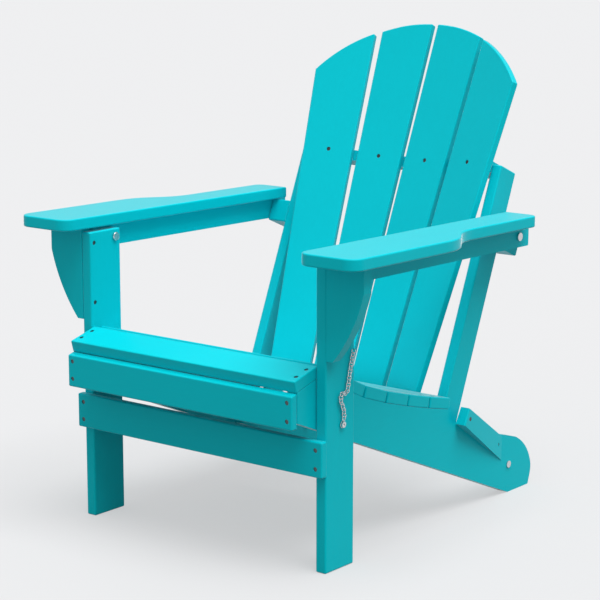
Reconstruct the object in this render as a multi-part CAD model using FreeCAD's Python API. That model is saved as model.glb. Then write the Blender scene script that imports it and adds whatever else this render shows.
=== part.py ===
import FreeCAD
import Part
import math
import os

# Folding garden armchair. Millimetres, +Z up, front towards -Y, +X the sitter's left.
# The floor is Z = 0 and the front faces of the front legs stand at Y = 0.

# Boards
board = 22.0  # thickness of every plank
edge_round = 3.0  # softened long edges
front_board = 16.0  # apron and front stretcher
side_gap = 1.0  # air between a leg and the seat rail beside it

# Front legs
leg_span = 580.0  # over the outer faces of the two legs
leg_width = 82.0
leg_top = 552.0
pivot_inset = 14.0  # arm pivot to the rear edge of the leg
pivot_height = 537.0

# Front boards
stretcher_low = 178.0
stretcher_height = 65.0
apron_front = 66.5  # apron face ahead of the legs
apron_low = 270.0
apron_height = 64.0

# Seat
seat_slat = 66.6  # width of a seat slat
seat_slat_gap = 4.0
seat_setback = 8.0  # front slat behind the apron face
seat_round = 2.2  # softened edges of a seat slat
seat_lift = 0.25  # front slat above the apron
seat_tilts = (15.0, -27.0, -25.0, -19.0, -16.0, -14.5, -13.0)  # degrees, front to rear
rail_slope = 22.5  # underside of the seat rail, degrees below level
rail_foot = 627.0  # where the underside meets the floor
foot_length = 73.0
notch_drop = 24.0  # step in the rail behind the last slat

# Back
back_lean = 22.8  # degrees behind upright
upright_depth = 56.0
upright_reach = 455.0  # front edge of an upright above the back datum
back_datum = (441.0, 238.0)  # front of the uprights at seat level, Y and Z
fan_low = 187.0  # half width of the fan at the datum
fan_growth = 0.10  # half width gained per millimetre of height
back_board = 15.0  # thickness of a back slat
fan_gap = 10.5  # between back slats at the datum
gap_growth = 0.006  # gap gained per millimetre of height
fan_top = 739.0  # crown of the arch above the datum
fan_shoulder = 616.0  # where the arch meets the outer edges
fan_drop = 45.0  # slats below the datum
turn_outer = 13.0  # degrees the outer slats face inwards
turn_middle = 4.3
rail_proud = 6.0  # upper cross rail above the uprights' front edge
screw_share = 0.6  # back screws up the thickness of a cross rail
outer_back = 10.0  # back of an outer slat at its middle, behind the uprights' front
upright_drop = 138.0  # uprights below the datum

# Arms
arm_rail_height = 42.0
arm_pivot_rear = (577.0, 529.0)  # Y and Z of the rear arm pivot
spacer_low = 30.0  # block at the rear arm pivot, below the pivot
spacer_clear = 5.0  # its top below the arm board
arm_inner = 272.0  # inner edge of the arm board from the middle
arm_wide = 124.0
arm_narrow = 74.0
arm_front = 62.0  # arm tip ahead of the legs
arm_rear = 593.0
arm_corner = 26.0

# Bracket under the arm
bracket_reach = 80.0
bracket_height = 173.0

# Hardware
bolt_radius = 4.0
head_radius = 8.0
head_height = 4.0
hole_slack = 0.05
screw_radius = 2.4
screw_head = 4.2
screw_sink = 1.2
block_thin = 1.2  # thin end of the rail block
pin_radius = 3.5
pin_place = (45.0, 264.0)  # Y and Z of the lock pin
ring_radius = 8.0
anchor_place = (72.0, 391.0)  # Y and Z of the chain anchor

link_radius = 3.9
link_wire = 0.95
link_step = 5.7

# Worked out
outer = leg_span / 2.0
inner = outer - board
rail_out = inner - side_gap
rail_in = rail_out - board
upright_in = rail_in - board
lean = math.radians(back_lean)
slope = math.radians(rail_slope)
pivot_y = leg_width - pivot_inset
arm_run = arm_pivot_rear[0] - pivot_y
arm_angle = math.atan2(pivot_height - arm_pivot_rear[1], arm_run)

os.makedirs("parts", exist_ok=True)


def vec(x, y, z):
    return FreeCAD.Vector(x, y, z)


pieces = {}


def save(name, *shapes):
    pieces[name] = shapes[0] if len(shapes) == 1 else Part.makeCompound(list(shapes))


def board_box(x0, x1, y0, y1, z0, z1):
    return Part.makeBox(x1 - x0, y1 - y0, z1 - z0, vec(x0, y0, z0))


def profile_x(points, x0, x1):
    """Extrude a Y-Z outline from x0 to x1."""
    loop = [vec(x0, y, z) for y, z in points]
    face = Part.Face(Part.makePolygon(loop + [loop[0]]))
    return face.extrude(vec(x1 - x0, 0, 0))


def mirror(shape):
    return shape.mirror(vec(0, 0, 0), vec(1, 0, 0))


def rounded(shape, radius, axis):
    """Round the straight edges that run along one axis."""
    edges = []
    for edge in shape.Edges:
        if edge.Curve.TypeId != "Part::GeomLine":
            continue
        run = edge.tangentAt(edge.FirstParameter)
        if abs(run.dot(axis)) > 0.999:
            edges.append(edge)
    return shape.makeFillet(radius, edges)


def screw(at, into, length=26.0):
    """A countersunk screw: at is the middle of its head face."""
    shank = Part.makeCylinder(screw_radius, length, at, into)
    head = Part.makeCone(screw_head, screw_radius, 2.2, at, into)
    return head.fuse(shank).removeSplitter()


def sink(at, into, length=26.0):
    """The space a screw takes from a board, with its head under the surface."""
    start = at - into * screw_sink
    well = Part.makeCylinder(screw_head, screw_sink, start, into)
    return well.fuse(screw(at, into, length))


X = vec(1, 0, 0)
Y = vec(0, 1, 0)
Z = vec(0, 0, 1)


def pair(name, shape):
    """Save a piece of the sitter's left side and its mirror image."""
    save("left_" + name, shape)
    save("right_" + name, mirror(shape))


def hole_x(y, z, radius, x0, x1):
    return Part.makeCylinder(radius, x1 - x0, vec(x0, y, z), X)


# Seat: the slats are walked from the apron backwards, each on its own tilt
rail_front = front_board - apron_front
slat_frames = []
top = (seat_setback - apron_front,
       apron_low + apron_height + seat_lift + board * math.cos(math.radians(seat_tilts[0])))
for index, tilt in enumerate(seat_tilts):
    angle = math.radians(tilt)
    along = (math.cos(angle), math.sin(angle))
    down = (board * along[1], -board * along[0])
    end = (top[0] + seat_slat * along[0], top[1] + seat_slat * along[1])
    slat_frames.append((top, end, down, along))
    if index + 1 < len(seat_tilts):
        bend = math.radians(tilt - seat_tilts[index + 1])
        gap = seat_slat_gap + max(0.0, board * math.sin(bend))
        half = angle - bend / 2.0
        top = (end[0] + gap * math.cos(half), end[1] + gap * math.sin(half))

# Seat rail outline
rail_top = []
for start, end, down, along in slat_frames:
    rail_top.append((start[0] + down[0], start[1] + down[1]))
    rail_top.append((end[0] + down[0], end[1] + down[1]))
lead = slat_frames[0]
nose = rail_top[0][1] + (rail_front - rail_top[0][0]) * lead[3][1] / lead[3][0]
rail_top[0] = (rail_front, nose)
rail_low = (rail_foot - rail_front) * math.tan(slope)
heel = rail_foot + foot_length
last = rail_top[-1]
step = (last[0], last[1] - notch_drop)
bump = (rail_foot - 39.0, 128.0)
crown = (heel - 47.0, 109.0)


def side_vec(point):
    return vec(rail_in, point[0], point[1])


edges = []
path = [(heel + 2.0, 0.0), (rail_foot, 0.0), (rail_front, rail_low)] + rail_top + [step, bump, crown]
for first, second in zip(path, path[1:]):
    edges.append(Part.makeLine(side_vec(first), side_vec(second)))
heel_curve = Part.BSplineCurve()
heel_spots = [crown, (heel - 29.0, 99.0), (heel - 5.0, 77.0), (heel + 8.0, 54.0),
              (heel + 12.0, 38.0), (heel + 8.0, 16.0), (heel + 2.0, 0.0)]
heel_curve.interpolate([side_vec(spot) for spot in heel_spots])
edges.append(heel_curve.toShape())
rail = Part.Face(Part.Wire(edges)).extrude(vec(board, 0, 0))

# Wedge block on the outside of the rail, thick end under the upright
block_low = (step[0] + 23.0, step[1] - 9.0)
block_high = (block_low[0] + 18.0, block_low[1] + 30.0)
block_end = (block_low[0] + 163.0, block_low[1] - 108.0)
block = profile_x([block_low, block_end, (block_end[0], block_end[1] + 49.0), block_high],
                  rail_out, rail_out + board)
plan = [vec(rail_out, 0, 0), vec(rail_out + board, 0, 0), vec(rail_out + board, block_low[0], 0),
        vec(rail_out + block_thin, block_end[0], 0), vec(rail_out, block_end[0], 0)]
taper = Part.Face(Part.makePolygon(plan + [plan[0]])).extrude(vec(0, 0, 500))
block = block.common(taper).removeSplitter()
corner = [edge for edge in block.Edges
          if edge.BoundBox.YMax < block_high[0] + 1.0 and edge.BoundBox.XMin > rail_out + board / 2.0]
block = block.makeFillet(edge_round, corner)
block_screws = []
for spot, out in (((block_low[0] + 22.0, block_low[1] + 8.0), 0.93), ((block_end[0] - 15.0, block_end[1] + 35.0), 0.09)):
    depth = block_thin + (board - block_thin) * out
    head = vec(rail_out + depth - screw_sink, spot[0], spot[1])
    block_screws.append(screw(head, -X, 24.0))
    block = block.cut(sink(head, -X, 24.0))
    rail = rail.cut(sink(head, -X, 24.0))

# Bolt through the foot
foot_bolt_at = (rail_foot, 58.0)
rail = rail.cut(hole_x(foot_bolt_at[0], foot_bolt_at[1], bolt_radius + hole_slack, rail_in - 1, rail_out + 1))
foot_bolt = hole_x(foot_bolt_at[0], foot_bolt_at[1], bolt_radius, rail_in - 3.0, rail_out + 0.5)
foot_cap = hole_x(foot_bolt_at[0], foot_bolt_at[1], head_radius - 1.0, rail_out, rail_out + 2.5)
foot_nut = hole_x(foot_bolt_at[0], foot_bolt_at[1], head_radius - 1.0, rail_in - 5.0, rail_in)
foot_bolt = foot_bolt.fuse([foot_cap, foot_nut]).removeSplitter()

# Seat slats and their screws
seat_screws = []
seat_slats = []
screw_x = rail_out - board / 2.0
for start, end, down, along in slat_frames:
    outline = [start, end, (end[0] + down[0], end[1] + down[1]), (start[0] + down[0], start[1] + down[1])]
    slat = profile_x(outline, -rail_out, rail_out)
    slat = slat.makeFillet(seat_round, slat.Edges)
    into = vec(0, down[0] / board, down[1] / board)
    for share in (0.28, 0.72):
        y = start[0] + share * seat_slat * along[0]
        z = start[1] + share * seat_slat * along[1]
        for x in (screw_x, -screw_x):
            head = vec(x, y, z) + into * screw_sink
            seat_screws.append(screw(head, into, 34.0))
            slat = slat.cut(sink(head, into, 34.0))
            if x > 0:
                rail = rail.cut(sink(head, into, 34.0))
    seat_slats.append(slat)

# Apron, its top edge parallel to the underside of the front slat
start, end, down, along = slat_frames[0]
apron_back = front_board - apron_front


def apron_top(depth):
    return start[1] + down[1] - seat_lift + (depth - start[0] - down[0]) * along[1] / along[0]


apron = profile_x([(-apron_front, apron_low), (apron_back, apron_low), (apron_back, apron_top(apron_back)),
                   (-apron_front, apron_top(-apron_front))], -rail_out, rail_out)
apron = apron.makeFillet(edge_round, apron.Edges)
apron_screws = []
for share in (0.24, 0.76):
    for x in (screw_x, -screw_x):
        head = vec(x, screw_sink - apron_front, apron_low + share * apron_height)
        apron_screws.append(screw(head, Y, 40.0))
        apron = apron.cut(sink(head, Y, 40.0))
        if x > 0:
            rail = rail.cut(sink(head, Y, 40.0))

# Back, built upright in its own frame: Z up the slats, -Y the side one leans on
slat_low = -fan_drop
arch_half = fan_low + fan_growth * fan_shoulder
arch_rise = fan_top - fan_shoulder
arch_radius = (arch_half ** 2 + arch_rise ** 2) / (2.0 * arch_rise)
arch_centre = fan_top - arch_radius
turn_x_outer = fan_low * 0.80
turn_x_middle = fan_low * 0.27
slats_meet = (turn_x_outer + turn_x_middle) / 2.0
meet_back = outer_back + (turn_x_outer - slats_meet) * math.tan(math.radians(turn_outer))
middle_back = meet_back + (slats_meet - turn_x_middle) * math.tan(math.radians(turn_middle))


def place_back(shape):
    moved = shape.copy()
    moved.rotate(vec(0, 0, 0), X, -back_lean)
    moved.translate(vec(0, back_datum[0], back_datum[1]))
    return moved


def fan_half(height):
    return fan_low + fan_growth * height


def fan_slat(inside, outside, turn_x, turn, back):
    """One right-hand slat between two shares of the fan's half width."""
    high = fan_top + 20.0
    corners = []
    for share, nudge, height in ((inside, 1, slat_low), (outside, -1, slat_low),
                                 (outside, -1, high), (inside, 1, high)):
        x = share * fan_half(height) + (nudge * (fan_gap + gap_growth * height) / 2.0 if share < 1.0 else 0.0)
        corners.append(vec(x, -back_board, height))
    face = Part.Face(Part.makePolygon(corners + [corners[0]]))
    slab = face.extrude(vec(0, back_board, 0))
    arch = Part.makeCylinder(arch_radius, back_board * 2, vec(0, -back_board * 1.5, arch_centre), Y)
    below = board_box(-400, 400, -back_board * 1.5, back_board / 2.0, slat_low - 1, fan_shoulder - 60.0)
    slab = slab.common(arch.fuse(below))
    slab = slab.removeSplitter()
    slab = slab.makeFillet(edge_round * 0.8, slab.Edges)
    slab.rotate(vec(turn_x, 0, 0), Z, -turn)
    slab.translate(vec(0, back, 0))
    return slab


outer_slat = fan_slat(0.5, 1.0, turn_x_outer, turn_outer, outer_back)
middle_slat = fan_slat(0.0, 0.5, turn_x_middle, turn_middle, middle_back)

# Cross rails between the uprights, hollowed to the slats


def outer_line(x):
    return outer_back - (x - turn_x_outer) * math.tan(math.radians(turn_outer))


def middle_line(x):
    return middle_back - (x - turn_x_middle) * math.tan(math.radians(turn_middle))


def cross_rail(low):
    seam = 0.5 * fan_half(low + board / 2.0)
    half = [(upright_in, outer_line(upright_in)), (seam, outer_line(seam)), (seam, middle_line(seam))]
    front = half + [(0.0, middle_line(0.0))] + [(-x, y) for x, y in reversed(half)]
    loop = [vec(x, y, low) for x, y in front]
    loop += [vec(-upright_in, upright_depth, low), vec(upright_in, upright_depth, low)]
    face = Part.Face(Part.makePolygon(loop + [loop[0]]))
    return face.extrude(vec(0, 0, board))


upper_low = upright_reach - board + rail_proud
lower_low = -fan_drop + 8.0
upper_rail = cross_rail(upper_low)
lower_rail = cross_rail(lower_low)
back_screws = []
fan_slats = [outer_slat, middle_slat, mirror(middle_slat), mirror(outer_slat)]
for low in (upper_low, lower_low):
    height = low + board * screw_share
    spots = ((0.75, turn_x_outer, turn_outer, outer_back), (0.25, turn_x_middle, turn_middle, middle_back))
    for which, (share, turn_x, turn, back) in enumerate(spots):
        angle = math.radians(turn)
        x = share * fan_half(height)
        into = vec(math.sin(angle), math.cos(angle), 0)
        surface = vec(x, back - (x - turn_x) * math.tan(angle), height) - into * back_board
        for side in (1, -1):
            head = vec(surface.x * side, surface.y, surface.z)
            aim = vec(into.x * side, into.y, 0)
            head = head + aim * screw_sink
            well = sink(head, aim, 36.0)
            back_screws.append(screw(head, aim, 36.0))
            slat_index = which if side == 1 else 3 - which
            fan_slats[slat_index] = fan_slats[slat_index].cut(well)
            if low == upper_low:
                upper_rail = upper_rail.cut(well)
            else:
                lower_rail = lower_rail.cut(well)

upright = board_box(upright_in, rail_in, 0.0, upright_depth, -upright_drop, upright_reach)
upright = upright.makeFillet(edge_round, upright.Edges)

# Rear arm pivot: a round spacer and a through bolt
pivot = arm_pivot_rear
upright = place_back(upright)
upright = upright.cut(hole_x(pivot[0], pivot[1], bolt_radius + hole_slack, upright_in - 1, rail_in + 1))
reach = pivot[0] - back_datum[0]
climb = pivot[1] - back_datum[1]
pivot_up = reach * math.sin(lean) + climb * math.cos(lean)
spacer_top = pivot_up + arm_rail_height / 2.0 - spacer_clear
spacer = board_box(rail_in, outer - 0.5, 0.0, upright_depth, pivot_up - spacer_low, spacer_top)
spacer = spacer.makeFillet(edge_round, spacer.Edges)
spacer = place_back(spacer)
spacer = spacer.cut(hole_x(pivot[0], pivot[1], bolt_radius + hole_slack, rail_in - 1, outer + 1))
rear_bolt = hole_x(pivot[0], pivot[1], bolt_radius, upright_in - 1, outer + board + 1.0)
rear_head = hole_x(pivot[0], pivot[1], head_radius, upright_in - head_height, upright_in)
rear_cap = hole_x(pivot[0], pivot[1], head_radius, outer + board + 0.4, outer + board + 0.4 + head_height)
rear_bolt = rear_bolt.fuse([rear_head, rear_cap]).removeSplitter()

# Bolts that hold each upright to its rail
joint_bolts = []
for height in (-upright_drop + 22.0, -upright_drop + 78.0):
    spot = vec(0, upright_depth / 2.0, height)
    spot = FreeCAD.Rotation(X, -back_lean).multVec(spot)
    y = spot.y + back_datum[0]
    z = spot.z + back_datum[1]
    hole = hole_x(y, z, bolt_radius + hole_slack, upright_in - 1, rail_in + board * 0.6 + 0.1)
    joint = hole_x(y, z, bolt_radius, upright_in - 1, rail_in + board * 0.6)
    joint = joint.fuse(hole_x(y, z, head_radius, upright_in - head_height, upright_in)).removeSplitter()
    upright = upright.cut(hole)
    rail = rail.cut(hole)
    joint_bolts.append(joint)

# Front leg
leg = board_box(inner, outer, 0.0, leg_width, 0.0, leg_top)
leg = leg.makeFillet(edge_round, leg.Edges)
stretcher = board_box(-outer - 3.0, outer + 3.0, -front_board, 0.0, stretcher_low, stretcher_low + stretcher_height)
stretcher = stretcher.makeFillet(edge_round, stretcher.Edges)
stretcher_screws = []
for share in (0.24, 0.76):
    for x in (outer - board / 2.0, board / 2.0 - outer):
        head = vec(x, screw_sink - front_board, stretcher_low + share * stretcher_height)
        stretcher_screws.append(screw(head, Y, 44.0))
        stretcher = stretcher.cut(sink(head, Y, 44.0))
        if x > 0:
            leg = leg.cut(sink(head, Y, 44.0))

# Bracket: a quarter curve under the arm, on the outside of the leg
bracket_top = pivot_height + arm_rail_height / 2.0 - 0.5
tip = bracket_top - bracket_height
edges = [
    Part.makeLine(vec(outer, 0, tip), vec(outer, 0, bracket_top)),
    Part.makeLine(vec(outer, 0, bracket_top), vec(outer + bracket_reach, 0, bracket_top)),
    Part.makeLine(vec(outer + bracket_reach, 0, bracket_top), vec(outer + bracket_reach, 0, bracket_top - 46.0)),
    Part.Arc(vec(outer + bracket_reach, 0, bracket_top - 46.0),
             vec(outer + bracket_reach * 0.66, 0, tip + bracket_height * 0.33),
             vec(outer + 14.0, 0, tip)).toShape(),
    Part.makeLine(vec(outer + 14.0, 0, tip), vec(outer, 0, tip)),
]
bracket = Part.Face(Part.Wire(edges)).extrude(vec(0, board, 0))
bracket_screws = []
for height in (bracket_top - 26.0, tip + 33.0):
    head = vec(inner + screw_sink, board / 2.0, height)
    bracket_screws.append(screw(head, X, 44.0))
    leg = leg.cut(sink(head, X, 44.0))
    bracket = bracket.cut(sink(head, X, 44.0))

# Front arm pivot: through the leg, fixed in the arm rail
leg = leg.cut(hole_x(pivot_y, pivot_height, bolt_radius + hole_slack, inner - 1, outer + 1))
front_bolt = hole_x(pivot_y, pivot_height, bolt_radius, inner - 1.0, outer + board * 0.8)
front_head = hole_x(pivot_y, pivot_height, head_radius, inner - 0.4 - head_height, inner - 0.4)
front_head = front_head.makeFillet(1.5, [front_head.Edges[2]])
front_bolt = front_bolt.fuse(front_head).removeSplitter()

# Arm and its rail, level first, then tipped about the front pivot
rail_level = board_box(outer + 0.4, outer + board, 30.0, arm_pivot_rear[0] + 36.0,
                       pivot_height - arm_rail_height / 2.0, pivot_height + arm_rail_height / 2.0)
rail_level = rounded(rail_level, edge_round, X)
outline = [
    (arm_inner, arm_rear), (arm_inner, -arm_front + arm_corner),
    (arm_inner + arm_corner, -arm_front), (arm_inner + arm_wide - arm_corner, -arm_front),
    (arm_inner + arm_wide, -arm_front + arm_corner), (arm_inner + arm_wide, 212.0),
    (arm_inner + arm_narrow, 372.0), (arm_inner + arm_narrow, arm_rear - 18.0),
    (arm_inner + arm_narrow - 18.0, arm_rear),
]
arm_base = pivot_height + arm_rail_height / 2.0
spots = [vec(x, y, arm_base) for x, y in outline]
bow = arm_corner * (1.0 - math.sqrt(0.5))
edges = [
    Part.makeLine(spots[0], spots[1]),
    Part.Arc(spots[1], vec(arm_inner + bow, -arm_front + bow, arm_base), spots[2]).toShape(),
    Part.makeLine(spots[2], spots[3]),
    Part.Arc(spots[3], vec(arm_inner + arm_wide - bow, -arm_front + bow, arm_base), spots[4]).toShape(),
    Part.makeLine(spots[4], spots[5]),
]
curve = Part.BezierCurve()
curve.setPoles([spots[5], spots[5] + vec(0, 84, 0), spots[6] - vec(0, 84, 0), spots[6]])
edges += [
    curve.toShape(),
    Part.makeLine(spots[6], spots[7]),
    Part.Arc(spots[7], spots[7] + vec(-5.3, 12.7, 0), spots[8]).toShape(),
    Part.makeLine(spots[8], spots[0]),
]
arm = Part.Face(Part.Wire(edges)).extrude(vec(0, 0, board))
rims = [edge for edge in arm.Edges if abs(edge.CenterOfMass.z - arm_base - board / 2.0) > board / 2.0 - 0.01]
arm = arm.makeFillet(edge_round, rims)


def tip_arm(shape):
    moved = shape.copy()
    moved.rotate(vec(0, pivot_y, pivot_height), X, -math.degrees(arm_angle))
    return moved


arm = tip_arm(arm)
arm_rail = tip_arm(rail_level)
arm_rail = arm_rail.cut(hole_x(pivot[0], pivot[1], bolt_radius + hole_slack, outer - 1, outer + board + 1))
arm_rail = arm_rail.cut(hole_x(pivot_y, pivot_height, bolt_radius + hole_slack, outer - 1, outer + board * 0.8))

# Lock pin, its ring, and the chain that keeps it
pin_hole = hole_x(pin_place[0], pin_place[1], pin_radius + hole_slack, inner - 1, outer + 1)
leg = leg.cut(pin_hole)
rail = rail.cut(hole_x(pin_place[0], pin_place[1], pin_radius + hole_slack, rail_in - 1, rail_out + 1))
pin = hole_x(pin_place[0], pin_place[1], pin_radius, inner + 0.3, outer + 4.0)
pin_cap = hole_x(pin_place[0], pin_place[1], ring_radius - 2.5, outer + 3.5, outer + 6.0)
pin = pin.fuse(pin_cap).removeSplitter()
pin = pin.cut(hole_x(pin_place[0], pin_place[1], 2.2, outer + 4.2, outer + 7.0))

chain_x = outer + link_radius + link_wire + 0.3
chain_path = [
    (anchor_place[0], anchor_place[1]), (66.0, 372.0), (61.0, 352.0), (57.0, 333.0), (50.0, 320.0),
    (41.0, 322.0), (36.0, 311.0), (41.0, 299.0), (45.0, 287.0), (pin_place[0], pin_place[1] + 11.3),
]
route = Part.BSplineCurve()
route.interpolate([vec(chain_x, y, z) for y, z in chain_path])
route_edge = route.toShape()
link_count = int(route_edge.Length / link_step)
stations = route.discretize(Number=link_count + 1)
links = []
for index, here in enumerate(stations):
    before = stations[max(index - 1, 0)]
    after = stations[min(index + 1, link_count)]
    run = (after - before).normalize()
    normal = X if index % 2 else run.cross(X)
    links.append(Part.makeTorus(link_radius, link_wire, here, normal))
eye = links.pop(0)
stem = Part.makeCylinder(1.1, link_wire * 2 + 10.0, stations[0] - X * (link_radius + 10.0 + link_wire), X)
eye = eye.fuse(stem).removeSplitter()
leg = leg.cut(Part.makeCylinder(1.1, 12.0, stations[0] - X * (link_radius + 10.0 + link_wire), X))
keeper = Part.makeTorus(pin_radius + 1.9, 0.9, vec(outer + 2.2, pin_place[0], pin_place[1]), X)

# Save: seat and back
pair("seat_rail", rail)
pair("rail_block", block)
save("seat_apron", apron)
save("seat_front_slat", seat_slats[0])
for index, slat in enumerate(seat_slats[1:]):
    save("seat_slat_" + str(index + 2), slat)
save("seat_screws", *seat_screws)
save("apron_screws", *apron_screws)
save("block_screws", *(block_screws + [mirror(item) for item in block_screws]))
save("foot_bolts", foot_bolt, mirror(foot_bolt))
pair("back_upright", upright)
save("upper_back_rail", place_back(upper_rail))
save("lower_back_rail", place_back(lower_rail))
for index, slat in enumerate(reversed(fan_slats)):
    save("back_slat_" + str(index + 1), place_back(slat))
save("back_screws", *[place_back(item) for item in back_screws])
save("upright_bolts", *(joint_bolts + [mirror(item) for item in joint_bolts]))
pair("arm_spacer", spacer)
save("rear_pivot_bolts", rear_bolt, mirror(rear_bolt))

# Save: arms
pair("arm", arm)
pair("arm_rail", arm_rail)
save("front_pivot_bolts", front_bolt, mirror(front_bolt))

# Save: leg frame
pair("front_leg", leg)
pair("arm_bracket", bracket)
save("front_stretcher", stretcher)
save("stretcher_screws", *stretcher_screws)
save("bracket_screws", *(bracket_screws + [mirror(item) for item in bracket_screws]))
save("chain_anchors", eye, mirror(eye))

# Save: lock pins and chains
pair("lock_pin", pin)
for side, shapes in (("left_", links + [keeper]), ("right_", [mirror(item) for item in links + [keeper]])):
    save(side + "chain", *shapes)

# The part's origin lies on the floor under the middle of the whole chair
box = Part.makeCompound(list(pieces.values())).optimalBoundingBox()
middle_y = (box.YMin + box.YMax) / 2.0
for name, shape in pieces.items():
    moved = shape.copy()
    moved.translate(vec(0, -middle_y, 0))
    moved.exportStep("parts/" + name + ".step")
print("origin is", round(middle_y, 2), "mm behind the front legs' front faces")
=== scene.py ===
import bpy
import math
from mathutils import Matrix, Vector


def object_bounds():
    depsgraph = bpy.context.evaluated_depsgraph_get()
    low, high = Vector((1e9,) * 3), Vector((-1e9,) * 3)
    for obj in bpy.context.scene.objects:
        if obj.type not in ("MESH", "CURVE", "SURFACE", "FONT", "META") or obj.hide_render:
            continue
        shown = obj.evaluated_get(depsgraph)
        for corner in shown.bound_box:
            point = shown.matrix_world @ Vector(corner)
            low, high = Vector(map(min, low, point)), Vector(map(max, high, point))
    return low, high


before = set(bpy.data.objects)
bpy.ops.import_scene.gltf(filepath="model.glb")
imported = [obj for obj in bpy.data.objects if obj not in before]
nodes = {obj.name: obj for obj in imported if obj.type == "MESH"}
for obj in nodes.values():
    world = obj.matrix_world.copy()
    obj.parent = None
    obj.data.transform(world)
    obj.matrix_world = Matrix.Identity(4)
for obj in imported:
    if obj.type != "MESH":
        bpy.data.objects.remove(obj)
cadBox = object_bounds()
print("frame loaded:", len(nodes), "pieces")


# a socket that can be used in sums
class Wire:
    def __init__(self, bench, socket):
        self.bench = bench
        self.socket = socket

    def _with(self, operation, first, second):
        return self.bench.add("ShaderNodeMath", {"operation": operation}, {0: first, 1: second})

    def __add__(self, other):
        return self._with("ADD", self, other)

    def __radd__(self, other):
        return self._with("ADD", other, self)

    def __sub__(self, other):
        return self._with("SUBTRACT", self, other)

    def __rsub__(self, other):
        return self._with("SUBTRACT", other, self)

    def __mul__(self, other):
        return self._with("MULTIPLY", self, other)

    def __rmul__(self, other):
        return self._with("MULTIPLY", other, self)


# one material and its nodes
class Bench:
    def __init__(self, name):
        self.material = bpy.data.materials.new(name)
        self.material.use_nodes = True
        self.tree = self.material.node_tree
        self.shader = self.tree.nodes["Principled BSDF"]

    def add(self, kind, settings=None, inputs=None, out=0):
        node = self.tree.nodes.new(kind)
        for key, value in (settings or {}).items():
            setattr(node, key, value)
        for key, value in (inputs or {}).items():
            self.plug(node.inputs[key], value)
        return Wire(self, node.outputs[out])

    def plug(self, socket, value):
        if isinstance(value, Wire):
            self.tree.links.new(value.socket, socket)
        else:
            socket.default_value = value

    def mix(self, factor, first, second):
        return self.add("ShaderNodeMix", {"data_type": "RGBA"}, {0: factor, 6: first, 7: second}, 2)

    def noise(self, vector, scale, detail=3.0, rough=0.5):
        return self.add("ShaderNodeTexNoise", {},
                        {"Vector": vector, "Scale": scale, "Detail": detail, "Roughness": rough})

    def place(self, stretch=(1, 1, 1)):
        spot = self.add("ShaderNodeTexCoord", {}, {}, "Object")
        return self.add("ShaderNodeMapping", {}, {"Vector": spot, "Scale": stretch})

    def finish(self, **values):
        for key, value in values.items():
            self.plug(self.shader.inputs[key.replace("_", " ")], value)
        return self.material


lumber = {
    "deep": (0.0, 0.58, 0.67, 1.0),
    "plain": (0.0, 0.66, 0.75, 1.0),
    "roughness": 0.38,
    "drawn": 9.0,  # streaks are this much longer than wide
    "ripple": 0.10,
    "shine": 0.1,
    "bloom": 1.0,  # pale bloom that such planks show at a flat angle
    "bloomRoughness": 0.2,
    "streakScale": 22.0,
    "cloudScale": 5.0,
    "pebbleScale": 420.0,
    "streakTone": 0.55,  # share of the streaks in the tone, the clouds have the rest
    "streakHeight": 0.35,  # share of the streaks in the relief, the pebbles have the rest
    "reliefDepth": 0.0006,
    "streakRough": 0.12,
    "pebbleRough": 0.06,
}


def makeLumber(name, along):
    bench = Bench(name)
    stretch = [lumber["drawn"]] * 3
    stretch[along] = 1.0
    drawn = bench.place(stretch)
    still = bench.place()
    streak = bench.noise(drawn, lumber["streakScale"], 4.0, 0.6)
    cloud = bench.noise(still, lumber["cloudScale"], 3.0, 0.5)
    pebble = bench.noise(still, lumber["pebbleScale"], 2.0, 0.6)
    tone = streak * lumber["streakTone"] + cloud * (1 - lumber["streakTone"])
    colour = bench.mix(tone, lumber["deep"], lumber["plain"])
    height = streak * lumber["streakHeight"] + pebble * (1 - lumber["streakHeight"])
    bump = bench.add("ShaderNodeBump", {},
                     {"Height": height, "Strength": lumber["ripple"], "Distance": lumber["reliefDepth"]})
    streakRough = (streak - 0.5) * lumber["streakRough"]
    pebbleRough = (pebble - 0.5) * lumber["pebbleRough"]
    rough = lumber["roughness"] + streakRough + pebbleRough
    return bench.finish(Base_Color=colour, Roughness=rough, Normal=bump, Specular_IOR_Level=lumber["shine"],
                        Sheen_Weight=lumber["bloom"], Sheen_Roughness=lumber["bloomRoughness"])


steel = {
    "bright": (0.78, 0.79, 0.80, 1.0),
    "dull": (0.50, 0.51, 0.53, 1.0),
    "roughness": 0.22,
    "grain": 260.0,
}
# screw heads: grey steel darkened to near black, as painted shade standing in for their dark sunk recesses
screwPaintedShade = {
    "bright": (0.16, 0.17, 0.18, 1.0),
    "dull": (0.04, 0.05, 0.05, 1.0),
    "roughness": 0.42,
    "grain": 380.0,
}
wear = {"patchRough": 0.2, "scratches": 900.0, "drawn": 14, "strength": 0.15, "depth": 0.0001}


def makeMetal(name, look):
    bench = Bench(name)
    spot = bench.place()
    patch = bench.noise(spot, look["grain"], 4.0, 0.6)
    colour = bench.mix(patch, look["dull"], look["bright"])
    rough = look["roughness"] + (patch - 0.5) * wear["patchRough"]
    scratch = bench.noise(bench.place((1, 1, wear["drawn"])), wear["scratches"], 2.0)
    bump = bench.add("ShaderNodeBump", {},
                     {"Height": scratch, "Strength": wear["strength"], "Distance": wear["depth"]})
    return bench.finish(Base_Color=colour, Roughness=rough, Metallic=1.0, Normal=bump)


boardAlongX = makeLumber("lumberAcross", 0)
boardAlongY = makeLumber("lumberDeep", 1)
boardAlongZ = makeLumber("lumberUpright", 2)
brightSteel = makeMetal("brightSteel", steel)
# the screw finish carries painted shade of the sunk recesses in its dark steel colours
screwSteelPaintedShade = makeMetal("screwSteelPaintedShade", screwPaintedShade)
print("materials made")


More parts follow.
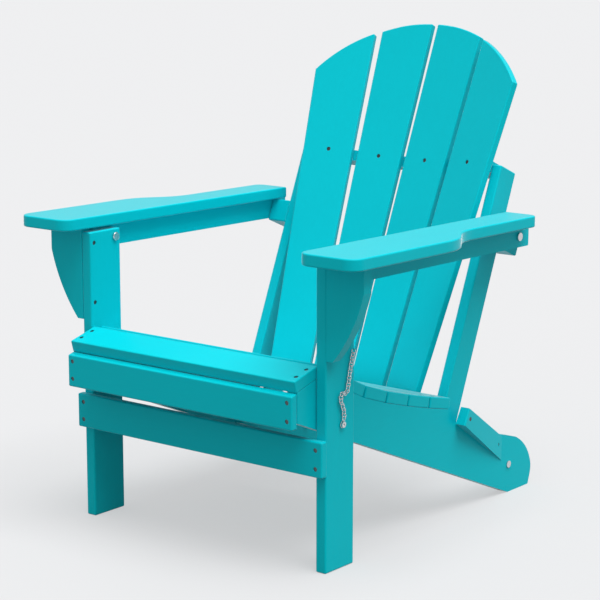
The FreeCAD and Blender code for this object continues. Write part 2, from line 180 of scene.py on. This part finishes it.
def finishFor(name):
    if name.endswith("screws"):
        return screwSteelPaintedShade
    if name.endswith(("bolts", "chain", "pin", "anchors")):
        return brightSteel
    if name.endswith("back_rail"):
        return boardAlongX
    if name.startswith(("seat_slat", "seat_front", "seat_apron", "front_stretcher")):
        return boardAlongX
    if name.endswith(("arm", "arm_rail", "seat_rail", "rail_block", "arm_spacer")):
        return boardAlongY
    return boardAlongZ


for name, piece in nodes.items():
    piece.data.materials.clear()
    piece.data.materials.append(finishFor(name))
    for face in piece.data.polygons:
        face.material_index = 0
print("pieces finished")

floor = {
    "half": 40.0,
    "colour": (0.63, 0.63, 0.64, 1.0),
    "unseen": (0.20, 0.20, 0.20, 1.0),  # how bright the floor is as a source of bounced light
    "glow": (0.855, 0.86, 0.87, 1.0),
    "lift": 0.6,  # how far the shadow is lifted
    "roughness": 1.0,
}


def makeFloor():
    half = floor["half"]
    low = cadBox[0].z
    mesh = bpy.data.meshes.new("floor")
    corners = [(-half, -half, low), (half, -half, low), (half, half, low), (-half, half, low)]
    mesh.from_pydata(corners, [], [(0, 1, 2, 3)])
    piece = bpy.data.objects.new("floor", mesh)
    bpy.context.scene.collection.objects.link(piece)
    bench = Bench("paleFloor")
    cameraRay = bench.add("ShaderNodeLightPath", {}, {}, "Is Camera Ray")
    glossyRay = bench.add("ShaderNodeLightPath", {}, {}, "Is Glossy Ray")
    seen = bench.add("ShaderNodeMath", {"operation": "MAXIMUM"}, {0: cameraRay, 1: glossyRay})
    shade = bench.mix(seen, floor["unseen"], floor["colour"])
    material = bench.finish(Base_Color=shade, Roughness=floor["roughness"], Specular_IOR_Level=0.0)
    glow = bench.add("ShaderNodeEmission", {}, {"Color": floor["glow"], "Strength": 1.0})
    plain = Wire(bench, bench.shader.outputs[0])
    lifted = bench.add("ShaderNodeMixShader", {}, {0: seen * floor["lift"], 1: plain, 2: glow})
    bench.tree.links.new(lifted.socket, bench.tree.nodes["Material Output"].inputs["Surface"])
    mesh.materials.append(material)


makeFloor()

sky = {"strength": 0.48, "colour": (1.0, 1.0, 1.0, 1.0)}


def makeSky():
    world = bpy.data.worlds.new("studio")
    world.use_nodes = True
    back = world.node_tree.nodes["Background"]
    back.inputs["Color"].default_value = sky["colour"]
    back.inputs["Strength"].default_value = sky["strength"]
    bpy.context.scene.world = world


makeSky()

softbox = {"from": (0.30, -0.02, 0.95), "strength": 3.0, "spread": 50.0}  # broad light from above


def makeSoftbox():
    data = bpy.data.lights.new("softbox", "SUN")
    data.energy = softbox["strength"]
    data.angle = math.radians(softbox["spread"])
    lamp = bpy.data.objects.new("softbox", data)
    lamp.rotation_euler = Vector(softbox["from"]).to_track_quat("Z", "Y").to_euler()
    bpy.context.scene.collection.objects.link(lamp)


makeSoftbox()
print("lit")

camera = {
    "place": (2.3833, -3.0684, 1.1786),  # metres
    "turn": 0.668,  # radians, about the vertical
    "tilt": -0.197,  # radians, below the level
    "lens": 122.8,
    "sensor": 36.0,
    "reach": 100.0,
}


def makeCamera():
    data = bpy.data.cameras.new("camera")
    data.sensor_width = camera["sensor"]
    data.lens = camera["lens"]
    data.clip_end = camera["reach"]
    eye = bpy.data.objects.new("camera", data)
    eye.location = camera["place"]
    eye.rotation_euler = (math.pi / 2 + camera["tilt"], 0.0, camera["turn"])
    bpy.context.scene.collection.objects.link(eye)
    bpy.context.scene.camera = eye


makeCamera()
bpy.context.scene.view_settings.view_transform = "Standard"
print("camera set")
